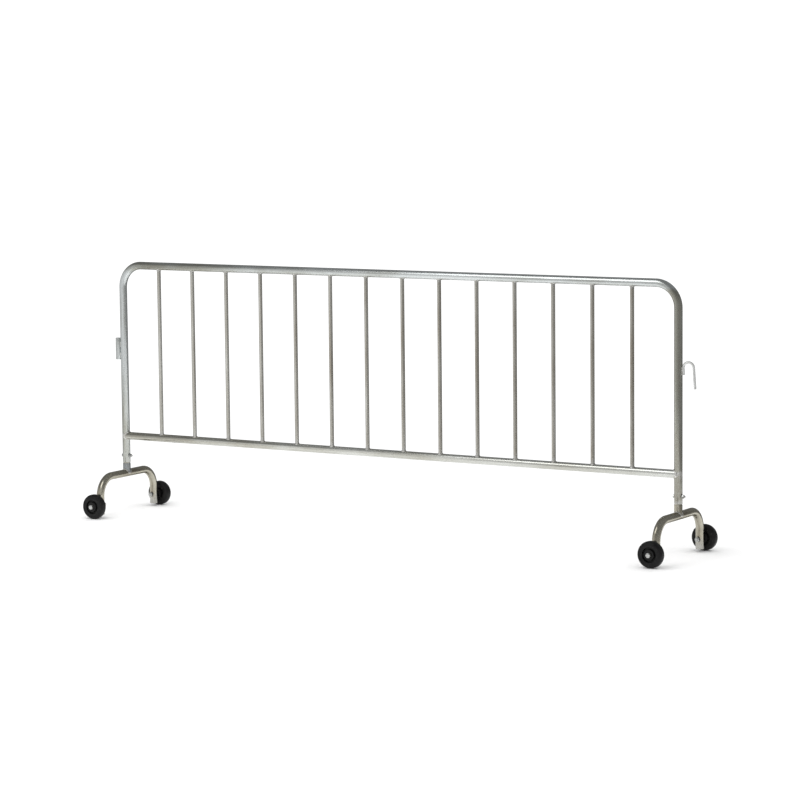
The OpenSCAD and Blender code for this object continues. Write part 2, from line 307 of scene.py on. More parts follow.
def piece(name, bm, material, slot, body, *nodes, crease=35):
    """Makes a finished bmesh a piece of the object, in place of the CAD nodes it stands for."""
    bmesh.ops.remove_doubles(bm, verts=bm.verts, dist=1e-6)
    bmesh.ops.recalc_face_normals(bm, faces=bm.faces)
    mesh = bpy.data.meshes.new(name)
    bm.to_mesh(mesh)
    bm.free()
    mesh.shade_smooth()
    mesh.set_sharp_from_angle(angle=radians(crease))
    mesh.materials.append(material)
    thing = bpy.data.objects.new(name, mesh)
    bpy.context.scene.collection.objects.link(thing)
    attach(thing, body)
    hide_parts(*nodes)
    return thing


# ---- welds ----

def saddle_bead(bm, centre, branch, run, leg, across, way, ripples, seed):
    """A rippled bead round an upright tube of radius branch where it meets a run of tube."""
    core = branch + 0.3 * leg
    place = Matrix.Translation((core, 0, 0)) @ Matrix.Rotation(pi / 2, 4, "X")
    made = bmesh.ops.create_circle(bm, segments=8, radius=leg, matrix=place)["verts"]
    old = set(bm.verts) - set(made)
    bmesh.ops.spin(bm, geom=made + edges_of(made), cent=(0, 0, 0), axis=(0, 0, 1),
                   angle=2 * pi, steps=6 * ripples, use_merge=True)
    for vert in set(bm.verts) - old:
        turn = atan2(vert.co.y, vert.co.x)
        ripple = 0.13 * cos(ripples * turn)
        uneven = 0.16 * noise.noise(Vector((3 * cos(turn), 3 * sin(turn), seed)))
        swell = 1 + ripple + uneven
        radius = core + (hypot(vert.co.x, vert.co.y) - core) * swell
        vert.co.x, vert.co.y = radius * cos(turn), radius * sin(turn)
        rise = sqrt(max(0, run ** 2 - vert.co[across] ** 2)) + 0.25 * leg
        vert.co = Vector(centre) + Vector((vert.co.x, vert.co.y, vert.co.z * swell + way * rise))


def lumpy_bead(foot, length, radius, lumps, seed):
    """An upright bead of overlapping lumps, as a stitch weld lays them."""
    bm = bmesh.new()
    bmesh.ops.create_cone(bm, cap_ends=True, segments=12, radius1=radius, radius2=radius,
                          depth=length)
    sides = [edge for edge in bm.edges
             if abs(edge.verts[0].co.z - edge.verts[1].co.z) > length / 2]
    bmesh.ops.subdivide_edges(bm, edges=sides, cuts=8 * lumps)
    for vert in bm.verts:
        share = vert.co.z / length + 0.5
        lump = 0.72 + 0.28 * abs(sin(pi * lumps * share))
        blunt_end = 0.15 + 0.85 * sqrt(max(0, 1 - abs(2 * share - 1) ** 6))
        swell = lump * blunt_end + 0.1 * noise.noise(Vector((5 * share, seed, 0)))
        vert.co = Vector(foot) + Vector((vert.co.x * swell, vert.co.y * swell, length * share))
    return bm


# ---- fasteners ----

def hexagon_bm(flats, height):
    """A hexagon prism on z = 0 whose upper corners are turned down to a cone."""
    bm = bmesh.new()
    corner = flats / 2 / cos(pi / 6)
    bmesh.ops.create_cone(bm, cap_ends=True, segments=6, radius1=corner, radius2=corner,
                          depth=height, matrix=Matrix.Translation((0, 0, height / 2)))
    for count in range(CHAMFER_CUTS):
        turn = Matrix.Rotation(2 * pi * count / CHAMFER_CUTS, 3, "Z")
        slope = turn @ Vector((sin(CHAMFER_SLOPE), 0, cos(CHAMFER_SLOPE)))
        edge = turn @ Vector((flats * FACE_SHARE, 0, height))
        geometry = bm.verts[:] + bm.edges[:] + bm.faces[:]
        cut = bmesh.ops.bisect_plane(bm, geom=geometry, plane_co=edge, plane_no=slope,
                                     clear_outer=True)["geom_cut"]
        capped(bm, of_kind(cut, bmesh.types.BMEdge))
    return bm


def shank_bm(thread, length):
    """A bolt's shank from z = 0 down, with a chamfered end and ridges along its thread."""
    radius = thread / 2
    outline = [(0, 0), (radius - FIT, 0), (radius - FIT, THREADED - length)]
    for count in range(int((THREADED - BOLT_TIP) / PITCH)):
        height = THREADED - length - count * PITCH
        outline += [(radius - THREAD_DEPTH, height - 0.4 * PITCH),
                    (radius - FIT, height - 0.9 * PITCH)]
    outline += [(radius - BOLT_CHAMFER, -length), (0, -length)]
    return turned(outline, ROD_FACETS)


def nut_bm(flats, height, thread):
    """A hexagon nut on z = 0 whose hole is countersunk at both ends."""
    bm = hexagon_bm(flats, height)
    flat = sorted((face for face in bm.faces if abs(face.normal.z) > 0.99),
                  key=lambda face: face.calc_center_median().z)
    low_rim, high_rim = [list(face.edges) for face in flat]
    bmesh.ops.delete(bm, geom=flat, context="FACES_ONLY")
    bore = thread / 2 + FIT
    mouth = bore + COUNTERSINK
    hole = [rings(bm, (radius,), ROD_FACETS, Matrix.Translation((0, 0, level)))
            for radius, level in ((mouth, 0), (bore, COUNTERSINK), (bore, height - COUNTERSINK),
                                  (mouth, height))]
    for first, second in zip(hole, hole[1:]):
        bmesh.ops.bridge_loops(bm, edges=first + second)
    for rim, ring in ((low_rim, hole[0]), (high_rim, hole[-1])):
        bmesh.ops.triangle_fill(bm, edges=rim + ring, use_beauty=True)
    return bm


def washer_bm(thread):
    """A round washer on z = 0 with its outer rims eased, more on the upper side."""
    radius, hole, thick = thread + 0.00025, thread / 2 + FIT, washer_thick(thread)
    return turned([(hole, 0), (radius - 0.0002, 0), (radius, 0.0002), (radius, thick - 0.0004),
                   (radius - 0.0004, thick), (hole, thick)], TUBE_FACETS)


def head_height(thread):
    return 0.64 * thread


def nut_height(thread):
    return 0.82 * thread


def flats_of(thread):
    """The distance over a head's or nut's flats, which is relatively smaller on thin threads."""
    return (1.62 if thread < 0.009 else 1.7) * thread


def washer_thick(thread):
    return 0.2 * thread


def nut_for(thread):
    return nut_bm(flats_of(thread), nut_height(thread), thread)


def hexagon_bolt(thread, total):
    """A bolt with its head on z > 0 and its shank below; total is its length with the head."""
    length = total - head_height(thread)
    lift = Matrix.Translation((0, 0, HEAD_OVERLAP))
    return joined((hexagon_bm(flats_of(thread), head_height(thread)), [Matrix()]),
                  (shank_bm(thread, length + HEAD_OVERLAP), [lift]))


# ---- node tools ----

def feed(tree, socket, value):
    """Links an input to another socket, or sets its constant."""
    if isinstance(value, bpy.types.NodeSocket):
        tree.links.new(value, socket)
    else:
        socket.default_value = value


def add(tree, kind, inputs=(), **settings):
    """Adds a shader node; inputs pairs a socket's name or number with a value or a socket."""
    made = tree.nodes.new("ShaderNode" + kind)
    for key, value in settings.items():
        setattr(made, key, value)
    for key, value in dict(inputs).items():
        feed(tree, made.inputs[key], value)
    return made


def maths(tree, operation, first, second=0.5):
    return add(tree, "Math", {0: first, 1: second}, operation=operation).outputs[0]


def remapped(tree, value, low, high, to_low=0.0, to_high=1.0):
    """A value carried from one range to another and held inside it."""
    return add(tree, "MapRange", {"Value": value, "From Min": low, "From Max": high,
                                  "To Min": to_low, "To Max": to_high}).outputs["Result"]


def blended(tree, factor, first, second):
    """A mix of two values."""
    return add(tree, "Mix", {0: factor, 2: first, 3: second}, data_type="FLOAT").outputs[0]


def mixed(tree, factor, first, second):
    """A mix of two colours."""
    return add(tree, "Mix", {0: factor, 6: first, 7: second}, data_type="RGBA").outputs[2]


def noise_value(tree, vector, stretch, detail=3.0, roughness=0.55):
    """Noise whose grain size along each axis is one over the stretch, in metres."""
    spread = add(tree, "Mapping", {"Vector": vector, "Scale": stretch}).outputs[0]
    return add(tree, "TexNoise", {"Vector": spread, "Scale": 1.0, "Detail": detail,
                                  "Roughness": roughness}).outputs[0]


def effect(name, inputs, outputs):
    """An empty shader node group with named sockets."""
    tree = bpy.data.node_groups.new(name, "ShaderNodeTree")
    for label, kind, value in inputs:
        socket = tree.interface.new_socket(label, in_out="INPUT", socket_type="NodeSocket" + kind)
        if value is not None:
            socket.default_value = value
    for label, kind in outputs:
        tree.interface.new_socket(label, in_out="OUTPUT", socket_type="NodeSocket" + kind)
    return tree, tree.nodes.new("NodeGroupInput").outputs, tree.nodes.new("NodeGroupOutput").inputs


def use(tree, group, **inputs):
    """Adds a group; an input's name is its socket's label in small letters."""
    made = tree.nodes.new("ShaderNodeGroup")
    made.node_tree = group
    for key, value in inputs.items():
        feed(tree, made.inputs[key.replace("_", " ").title()], value)
    return made.outputs


def pitted(tree, place, amount):
    """Small dark pits in the coat, thick in some places and scarce in others."""
    grit = noise_value(tree, place, (900, 900, 500), detail=2.0)
    few = noise_value(tree, place, (60, 60, 22), detail=2.0)
    threshold = maths(tree, "SUBTRACT", 0.80, maths(tree, "MULTIPLY", few, 0.22))
    pits = remapped(tree, maths(tree, "SUBTRACT", grit, threshold), 0.0, 0.06)
    return maths(tree, "MULTIPLY", pits, amount)


def zinc_effect():
    """Zinc on drawn tube: broad clouds, lines along the draw, fine mottle and small dark pits."""
    tree, given, result = effect(
        "zinc_on_tube",
        [("Vector", "Vector", None), ("Cloud Size", "Float", 0.12), ("Pits", "Float", 0.5)],
        [("Clouds", "Float"), ("Streaks", "Float"), ("Mottle", "Float"), ("Pits", "Float"),
         ("Height", "Float")])
    place = given["Vector"]
    cloud = maths(tree, "DIVIDE", 1.0, given["Cloud Size"])
    wide = add(tree, "VectorMath", {0: place, 1: (2.2, 2.2, 0.45)}, operation="MULTIPLY").outputs[0]
    cloudy = add(tree, "TexNoise", {"Vector": wide, "Scale": cloud, "Detail": 4.0,
                                    "Roughness": 0.6}).outputs[0]
    short_lines = noise_value(tree, place, (420, 420, 5), detail=2.0)
    long_lines = noise_value(tree, place, (160, 160, 1.6), detail=2.0)
    streaks = blended(tree, 0.5, short_lines, long_lines)
    mottle = noise_value(tree, place, (330, 330, 190), detail=4.0, roughness=0.65)
    pits = pitted(tree, place, given["Pits"])
    relief = maths(tree, "ADD", maths(tree, "MULTIPLY", streaks, 0.5),
                   maths(tree, "MULTIPLY", mottle, 0.5))
    masks = {"Clouds": remapped(tree, cloudy, 0.32, 0.68),
             "Streaks": remapped(tree, streaks, 0.35, 0.65),
             "Mottle": remapped(tree, mottle, 0.35, 0.65),
             "Pits": pits,
             "Height": maths(tree, "SUBTRACT", relief, pits)}
    for label, socket in masks.items():
        tree.links.new(socket, result[label])
    return tree


def level_effect():
    """A ragged band round one height of the object, such as where the heat of a weld reached;
    at the feet of the base legs it is a painted reflection of the floor.
    """
    tree, given, result = effect(
        "heat_and_floor_sheen_band",
        [("Level", "Float", 0.0), ("Reach", "Float", 0.03)], [("Mask", "Float")])
    place = add(tree, "TexCoord").outputs["Object"]
    height = add(tree, "SeparateXYZ", {0: place}).outputs[2]
    ragged = noise_value(tree, place, (70, 70, 40), detail=3.0)
    shift = maths(tree, "MULTIPLY", maths(tree, "SUBTRACT", ragged, 0.5), 0.05)
    above = maths(tree, "SUBTRACT", maths(tree, "ADD", height, shift), given["Level"])
    away = maths(tree, "ABSOLUTE", above)
    share = maths(tree, "DIVIDE", away, given["Reach"])
    tree.links.new(remapped(tree, share, 1.0, 0.3), result["Mask"])
    return tree


def surface(name, constants):
    """A material with a bare Principled BSDF, its constant sockets set."""
    material = bpy.data.materials.new(name)
    material.use_nodes = True
    tree = material.node_tree
    shader = tree.nodes["Principled BSDF"]
    for key, value in constants.items():
        shader.inputs[key].default_value = value
    return material, tree, shader.inputs


def bumped(tree, height, strength, depth):
    return add(tree, "Bump", {"Height": height, "Strength": strength, "Distance": depth}).outputs[0]


# ---- finishes ----

# Grey for whitened bands: weld heat tint, and a painted floor reflection at the base legs' feet.
WELD_BURN_AND_FLOOR_SHEEN = (0.52, 0.52, 0.50, 1)
PIT = (0.17, 0.15, 0.125, 1)


def burn_and_sheen_bands(tree, band, levels, mottle):
    """Bands round the given heights: heat tint where welds are, a grey band at the post feet and
    a painted reflection of the floor at the feet of the base legs. levels pairs a height with
    its reach.
    """
    masks = [use(tree, band, level=level, reach=reach)["Mask"] for level, reach in levels]
    burn_and_sheen = masks[0]
    for mask in masks[1:]:
        burn_and_sheen = maths(tree, "MAXIMUM", burn_and_sheen, mask)
    return maths(tree, "MULTIPLY", burn_and_sheen, remapped(tree, mottle, 0.1, 0.7, 0.35, 0.9))


def tube_finish(name, light, dark, stain, effects, levels=(), painted_light=None,
                roughness=(0.24, 0.32), pits=0.3, cloud_size=0.12):
    """Zinc coated tube: light and dark zinc in clouds, a stain in the darkest of them, deeper where
    shade is painted, and whitened bands where weld heat tinted the coat, and at the feet of the
    base legs a painted reflection of the floor. A given function adds a share that varies over the
    object: painted shade and highlight."""
    zinc, band = effects
    material, tree, shader = surface(name, {"Metallic": 1.0})
    place = add(tree, "Attribute", attribute_name="grain").outputs["Vector"]
    coat = use(tree, zinc, vector=place, cloud_size=cloud_size, pits=pits)
    tone_and_painted_light = maths(tree, "ADD", maths(tree, "MULTIPLY", coat["Clouds"], 0.68),
                 maths(tree, "MULTIPLY", coat["Streaks"], 0.32))
    # Painted shade and highlight that vary over the object darken or lighten the tone here.
    if painted_light:
        tone_and_painted_light = maths(tree, "ADD", tone_and_painted_light, painted_light(tree))
    colour = mixed(tree, remapped(tree, tone_and_painted_light, 0.1, 0.9), light, dark)
    stained = remapped(tree, maths(tree, "MULTIPLY", tone_and_painted_light, coat["Mottle"]), 0.36, 0.80, 0.0, 0.5)
    colour = mixed(tree, stained, colour, stain)
    rough = remapped(tree, coat["Mottle"], 0.0, 1.0, *roughness)
    # Whitened bands: weld heat tint, and at the base legs' feet a painted reflection of the floor.
    if levels:
        burn_and_sheen = burn_and_sheen_bands(tree, band, levels, coat["Mottle"])
        colour = mixed(tree, burn_and_sheen, colour, WELD_BURN_AND_FLOOR_SHEEN)
        rough = maths(tree, "ADD", rough, maths(tree, "MULTIPLY", burn_and_sheen, 0.16))
    colour = mixed(tree, coat["Pits"], colour, PIT)
    tree.links.new(colour, shader["Base Color"])
    tree.links.new(rough, shader["Roughness"])
    tree.links.new(bumped(tree, coat["Height"], 0.3, 0.00003), shader["Normal"])
    return material


def place_of(tree):
    """The object coordinates as separate x, y and z sockets."""
    return add(tree, "SeparateXYZ", {0: add(tree, "TexCoord").outputs["Object"]}).outputs


def frame_painted_light(tree):
    """Painted shade and highlight: posts are painted darker from the left to the right and
    towards the foot, the top rail lighter.
    """
    along, _, height = place_of(tree)
    post = maths(tree, "ADD", remapped(tree, along, LEFT_X, RIGHT_X, -0.28, 0.42),
                 remapped(tree, height, RAIL_Z - 0.05, RAIL_Z + 0.38, 0.48, 0.0))
    rail = remapped(tree, along, LEFT_X + 0.3, 0.1, 0.30, -0.30)
    upper = remapped(tree, height, TOP_Z - 2 * TUBE, TOP_Z - TUBE)
    return blended(tree, upper, post, rail)


def rail_painted_shade(tree):
    """Painted shade: the bottom rail is painted darkest near its left end."""
    return remapped(tree, place_of(tree)[0], LEFT_X, 0.0, 0.35, -0.15)


def picket_painted_shade(tree):
    """Painted shade: pickets are painted darker and browner from the left to the right."""
    return remapped(tree, place_of(tree)[0], LEFT_X, RIGHT_X, -0.10, 0.28)


def weld_finish():
    """Weld metal under sprayed zinc: bright crests, grey hollows and brown scale."""
    material, tree, shader = surface("weld_metal", {"Metallic": 1.0})
    place = add(tree, "TexCoord").outputs["Object"]
    blotch = noise_value(tree, place, (180, 180, 180), detail=4.0)
    grit = noise_value(tree, place, (900, 900, 900), detail=3.0)
    colour = mixed(tree, remapped(tree, blotch, 0.35, 0.65), (0.80, 0.80, 0.78, 1),
                   (0.47, 0.45, 0.41, 1))
    colour = mixed(tree, remapped(tree, grit, 0.62, 0.75, 0.0, 0.7), colour, (0.22, 0.17, 0.12, 1))
    tree.links.new(colour, shader["Base Color"])
    tree.links.new(remapped(tree, blotch, 0.3, 0.7, 0.26, 0.5), shader["Roughness"])
    tree.links.new(bumped(tree, grit, 0.5, 0.0003), shader["Normal"])
    return material


def plated_finish(name, bright, dull, metallic):
    """Zinc plate on rod and fasteners, with rubbed and clouded patches."""
    material, tree, shader = surface(name, {"Metallic": metallic})
    place = add(tree, "TexCoord").outputs["Object"]
    cloud = noise_value(tree, place, (90, 90, 40), detail=4.0)
    scratch = noise_value(tree, place, (1400, 1400, 220), detail=2.0)
    colour = mixed(tree, remapped(tree, cloud, 0.35, 0.68), bright, dull)
    colour = mixed(tree, remapped(tree, scratch, 0.66, 0.78, 0.0, 0.6), colour,
                   (0.33, 0.31, 0.27, 1))
    tree.links.new(colour, shader["Base Color"])
    tree.links.new(remapped(tree, cloud, 0.3, 0.7, 0.22, 0.40), shader["Roughness"])
    tree.links.new(bumped(tree, scratch, 0.2, 0.00005), shader["Normal"])
    return material


def wheel_finish():
    """Moulded black plastic: a fine matt grain, scuffs on the tread and dust in the grain."""
    material, tree, shader = surface("moulded_black", {"Specular IOR Level": 0.2})
    place = add(tree, "TexCoord").outputs["Object"]
    grain = noise_value(tree, place, (1500, 1500, 1500), detail=2.0)
    patch = noise_value(tree, place, (55, 55, 55), detail=5.0, roughness=0.65)
    scuff = noise_value(tree, place, (160, 900, 160), detail=3.0)
    colour = mixed(tree, remapped(tree, patch, 0.35, 0.7), (0.0025, 0.0025, 0.003, 1),
                   (0.010, 0.010, 0.0095, 1))
    colour = mixed(tree, remapped(tree, scuff, 0.60, 0.74, 0.0, 0.5), colour,
                   (0.05, 0.049, 0.045, 1))
    tree.links.new(colour, shader["Base Color"])
    tree.links.new(remapped(tree, patch, 0.3, 0.7, 0.36, 0.58), shader["Roughness"])
    tree.links.new(bumped(tree, grain, 0.3, 0.00015), shader["Normal"])
    return material


# ---- the panel ----

def bent_frame_tube(finish):
    bm = arch_tube(SPACING, TOP_Z, CORNER_BEND, POST_FOOT, TUBE, TUBE_WALL, TUBE_FACETS)
    moved(bm, Matrix.Translation(((LEFT_X + RIGHT_X) / 2, 0, 0)))
    piece("bent_frame_tube", bm, finish, "frame_steel", "frame", "outer_frame_tube")


def lower_rail(finish):
    cope = TUBE + ROOT_GAP
    bm = straight_tube(TUBE, TUBE_WALL, LEFT_X, RIGHT_X, TUBE_FACETS, coped=(cope, cope))
    lay_grain(bm, lambda point: point + Vector((0, 0, 7)))
    moved(along_x(bm), Matrix.Translation((0, 0, RAIL_Z)))
    piece("lower_rail", bm, finish, "frame_steel", "frame", "bottom_rail")


def uprights(finish):
    cope = TUBE + ROOT_GAP
    for number, node in enumerate(PICKETS):
        bm = straight_tube(PICKET, PICKET_WALL, RAIL_Z, TOP_Z, PICKET_FACETS, coped=(cope, cope))
        lay_grain(bm, lambda point: point + Vector((0, 0, 3.1 * number)))
        moved(bm, Matrix.Translation((middle_of(node).x, 0, 0)))
        piece(f"upright_{number + 1:02d}", bm, finish, "picket_steel", "frame", node)


def upright_welds(finish):
    for name, node, level, way in (("upright_top_beads", "picket_top_welds", TOP_Z, -1),
                                   ("upright_foot_beads", "picket_bottom_welds", RAIL_Z, 1)):
        bm = bmesh.new()
        for number, picket in enumerate(PICKETS):
            saddle_bead(bm, (middle_of(picket).x, 0, level), PICKET, TUBE, PICKET_BEAD, 1, way,
                        PICKET_RIPPLES, number * 5.3 + way)
        piece(name, bm, finish, "weld_metal", "frame", node, crease=80)


def rail_end_welds(finish):
    beads = bmesh.new()
    for way, x in ((1, LEFT_X), (-1, RIGHT_X)):
        bm = bmesh.new()
        saddle_bead(bm, (0, 0, 0), TUBE, TUBE, RAIL_BEAD, 1, way, TUBE_RIPPLES, x)
        moved(along_x(bm), Matrix.Translation((x, 0, RAIL_Z)))
        beads = joined((beads, [Matrix()]), (bm, [Matrix()]))
    piece("rail_end_beads", beads, finish, "weld_metal", "frame", "rail_welds", crease=80)


# ---- the link ----

def link_hook(finish):
    low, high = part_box("coupling_hook")
    rod, arc = (high.y - low.y) / 2, HOOK_SPAN / 2
    centre = Vector((low.x + arc + rod, 0, high.z - arc - rod))
    bm = bmesh.new()
    start = rings(bm, (rod,), ROD_FACETS, Matrix.Translation((-arc, 0, -SHANK)))
    ring = drawn_out(bm, start, Vector((0, 0, SHANK)))
    ring = bent_round(bm, ring, (0, 0, 0), (0, 1, 0), pi, 2 * BEND_STEPS)
    tip = low.z + (rod - HOOK_CHAMFER) * sin(HOOK_LEAN)
    leg = (centre.z + arc * sin(HOOK_LEAN) - tip) / cos(HOOK_LEAN)
    end = drawn_out(bm, ring, Vector((0, 0, HOOK_CHAMFER - leg)))
    capped(bm, start)
    tip_edges = drawn_out(bm, end, Vector((0, 0, -HOOK_CHAMFER)))
    bmesh.ops.scale(bm, verts=verts_of(tip_edges), vec=[1 - HOOK_CHAMFER / rod] * 3,
                    space=Matrix.Translation((-arc, 0, leg)))
    capped(bm, tip_edges)
    bmesh.ops.recalc_face_normals(bm, faces=bm.faces)
    moved(bm, Matrix.Translation(centre) @ Matrix.Rotation(-HOOK_LEAN, 4, "Y"))
    piece("link_hook", bm, finish, "zinc_plate", "frame", "coupling_hook")


def hook_beads(finish):
    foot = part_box("hook_weld")[0].z
    rod = size_of("coupling_hook").y / 2
    out, side = RIGHT_X + TUBE + 0.0008, 0.62 * rod
    beads = [lumpy_bead((out, way * side, foot), HOOK_WELD, HOOK_BEAD, 4, way * 3.0)
             for way in (-1, 1)]
    piece("hook_beads", joined(*((bead, [Matrix()]) for bead in beads)), finish, "weld_metal",
          "frame", "hook_weld", crease=80)


def link_sleeve(finish):
    low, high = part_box("coupling_sleeve")
    bm = straight_tube((high.y - low.y) / 2, SLEEVE_WALL, low.z, high.z, TUBE_FACETS)
    lay_grain(bm, lambda point: point + Vector((0, 0, 11)))
    moved(bm, Matrix.Translation(((low.x + high.x) / 2, 0, 0)))
    piece("link_sleeve", bm, finish, "frame_steel", "frame", "coupling_sleeve")


def sleeve_beads(finish):
    low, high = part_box("coupling_sleeve")
    length, out, side = high.z - low.z, LEFT_X - TUBE - 0.0002, 0.0049
    beads = [lumpy_bead((out, way * side, low.z + share * length), SLEEVE_STITCH * length,
                        SLEEVE_BEAD, 3, share + way)
             for share in (0.08, 0.58) for way in (-1, 1)]
    piece("sleeve_beads", joined(*((bead, [Matrix()]) for bead in beads)), finish, "weld_metal",
          "frame", "sleeve_welds", crease=80)


# ---- the bases ----

def base_arch(end, finish):
    bm = arch_tube(LEG_SPACING, BASE_TOP, BASE_BEND, LEG_FOOT, TUBE, TUBE_WALL, TUBE_FACETS)
    moved(bm, Matrix.Translation((POST_X[end], 0, 0)) @ Matrix.Rotation(pi / 2, 4, "Z"))
    piece(end + "_arch", bm, finish, "base_steel", "frame", end + "_base_tube")


def base_stub(end, finish):
    node = end + "_base_collar"
    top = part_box(node)[1].z
    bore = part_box(end + "_base_spigot")[1].x - POST_X[end] + ROOT_GAP
    bm = straight_tube(TUBE, TUBE - bore, BASE_TOP, top, TUBE_FACETS,
                       coped=(TUBE + ROOT_GAP, 0), across=0)
    lay_grain(bm, lambda point: point + Vector((0, 0, 17)))
    moved(bm, Matrix.Translation((POST_X[end], 0, 0)))
    piece(end + "_stub", bm, finish, "base_steel", "frame", node)


def base_inner_tube(end, finish):
    node = end + "_base_spigot"
    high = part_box(node)[1]
    bm = straight_tube(high.x - POST_X[end], SPIGOT_WALL, BASE_TOP, high.z, TUBE_FACETS,
                       coped=(TUBE + ROOT_GAP, 0), across=0)
    lay_grain(bm, lambda point: point + Vector((0, 0, 19)))
    moved(bm, Matrix.Translation((POST_X[end], 0, 0)))
    piece(end + "_inner_tube", bm, finish, "base_steel", "frame", node)


def stub_beads(finish):
    bm = bmesh.new()
    for end in ENDS:
        saddle_bead(bm, (POST_X[end], 0, BASE_TOP), TUBE, TUBE, STUB_BEAD, 0, 1, TUBE_RIPPLES,
                    POST_X[end])
    piece("stub_beads", bm, finish, "weld_metal", "frame", "collar_welds", crease=80)


# ---- wheels and fasteners ----

def outwards(end, side):
    """The place of a wheel's axle, with +Z running out from the barrier's middle plane."""
    facing = Matrix.Rotation(pi / 2 if side == "front" else -pi / 2, 4, "X")
    return Matrix.Translation((POST_X[end], 0, AXLE_Z)) @ facing


def reach_of(node, side):
    """How far a node starts and ends from the middle plane, on its own side."""
    low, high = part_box(node)
    return (-high.y, -low.y) if side == "front" else (low.y, high.y)


def wheel_outline(radius, bore, half, back):
    """A wheel's section as (radius, height) from its middle plane: hub, recess and shoulder on
    the outer side, the tread, then the same on the inner side, where the hub ends at back."""
    floor, ledge = half - RECESS_DEPTH, radius - SHOULDER - LEDGE
    crown, mould_line = radius - SHOULDER / 2, radius - 0.0002
    groove, wall = WHEEL_HUB + DRAFT, WHEEL_RECESS - 0.0004
    return [
        (bore, half), (WHEEL_HUB, half), (groove, floor), (wall, floor),
        (WHEEL_RECESS, half - DRAFT), (ledge - DRAFT, half - DRAFT), (ledge, half),
        (crown, half - 0.0004), (radius - 0.0001, half - SHOULDER),
        (mould_line, DRAFT), (radius, 0), (mould_line, -DRAFT),
        (radius - 0.0001, SHOULDER - half), (crown, 0.0004 - half), (ledge, -half),
        (WHEEL_RECESS, -half), (wall, -floor), (groove, -floor), (WHEEL_HUB, back), (bore, back)]


def moulded_wheel(end, side, finish):
    node = f"{end}_{side}_wheel"
    inner, outer = reach_of(node, side)
    half = WHEEL_WIDTH / 2
    bore = size_of(f"{end}_{side}_axle_sleeve").x / 2 + FIT
    plane = outer - half
    outline = wheel_outline(size_of(node).x / 2, bore, half, inner - plane)
    rim, hub, shoulder = 0.0012, 0.001, 0.004
    eased = ((1, rim), (2, hub), (3, hub), (4, 0.0014), (7, shoulder), (8, shoulder),
             (12, shoulder), (13, shoulder), (15, rim), (16, hub), (17, hub), (18, rim))
    bm = turned(outline, WHEEL_FACETS, eased)
    moved(bm, outwards(end, side) @ Matrix.Translation((0, 0, plane)))
    piece(f"{end}_{side}_moulded_wheel", bm, finish, "wheel_black", node + "_body", node, crease=30)


def turning_sleeve(end, side, finish):
    node = f"{end}_{side}_axle_sleeve"
    inner, outer = reach_of(node, side)
    radius, bore = size_of(node).x / 2, AXLE_THREAD / 2 + 3 * FIT
    bm = straight_tube(radius, radius - bore, inner, outer, ROD_FACETS)
    moved(bm, outwards(end, side))
    piece(f"{end}_{side}_turning_sleeve", bm, finish, "zinc_plate", "frame", node)


def axle_fastener(end, side, finish):
    node = f"{end}_{side}_axle_bolt"
    inner, outer = reach_of(node, side)
    bm = hexagon_bolt(AXLE_THREAD, outer - inner)
    spin = Matrix.Rotation(radians(17 if end == "left" else 38), 4, "Z")
    place = Matrix.Translation((0, 0, outer - head_height(AXLE_THREAD)))
    moved(bm, outwards(end, side) @ place @ spin)
    piece(f"{end}_{side}_wheel_bolt", bm, finish, "zinc_plate", "frame", node)


def wheel_washers_and_nuts(painted_shade_for_washers, nut_finish):
    leg_out = LEG_SPACING / 2 + TUBE
    nut_face = leg_out - 2 * TUBE - washer_thick(AXLE_THREAD)
    washers, nuts = [], []
    for end in ENDS:
        for side in SIDES:
            axle = outwards(end, side)
            sleeve_end = reach_of(f"{end}_{side}_axle_sleeve", side)[1]
            washers += [axle @ Matrix.Translation((0, 0, height))
                        for height in (sleeve_end, leg_out, nut_face)]
            turn = Matrix.Rotation(radians(11 if side == "front" else 24), 4, "Z")
            inwards = Matrix.Translation((0, 0, nut_face)) @ Matrix.Rotation(pi, 4, "X")
            nuts.append(axle @ inwards @ turn)
    # The washers take a near-black plate, which is painted shade.
    piece("wheel_washers", joined((washer_bm(AXLE_THREAD), washers)), painted_shade_for_washers,
          "zinc_plate", "frame", "axle_washers")
    piece("wheel_nuts", joined((nut_for(AXLE_THREAD), nuts)), nut_finish, "zinc_plate", "frame",
          "axle_nuts")


def post_fasteners(finish):
    low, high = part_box("base_bolts")
    height, tail = (low.z + high.z) / 2, high.x - RIGHT_X
    across = [Matrix.Translation((POST_X[end], 0, height)) @ Matrix.Rotation(pi / 2, 4, "Y")
              for end in ENDS]
    on_tube = Matrix.Translation((0, 0, TUBE))
    on_washer = Matrix.Translation((0, 0, TUBE + washer_thick(BASE_THREAD)))
    bolt = hexagon_bolt(BASE_THREAD, TUBE + tail + head_height(BASE_THREAD))
    bolts = [place @ Matrix.Rotation(pi, 4, "X") @ on_tube for place in across]
    washers = [place @ on_tube for place in across]
    nuts = [place @ on_washer for place in across]
    piece("post_bolts", joined((bolt, bolts)), finish, "zinc_plate", "frame", "base_bolts")
    piece("post_washers", joined((washer_bm(BASE_THREAD), washers)), finish, "zinc_plate",
          "frame", "base_washers")
    piece("post_nuts", joined((nut_for(BASE_THREAD), nuts)), finish, "zinc_plate", "frame",
          "base_nuts")


# ---- the studio ----

# What gloss reflects: walls all round, as (degrees from straight ahead, brightness), a ceiling
# and the heights between which the one turns into the other.
WALLS = ((-180, 0.18), (-148, 0.17), (-115, 0.26), (-88, 0.72), (-40, 0.70), (-10, 0.56),
         (30, 0.40), (95, 0.35), (140, 0.24), (180, 0.18))
CEILING = (0.24, 0.245, 0.25, 1)
COVE = (0.15, 0.6)
WHITE = 1.12

FLOOR_REACH = (1.9, 1.0)
FLOOR_MIDDLE = (0, -0.3, 0)


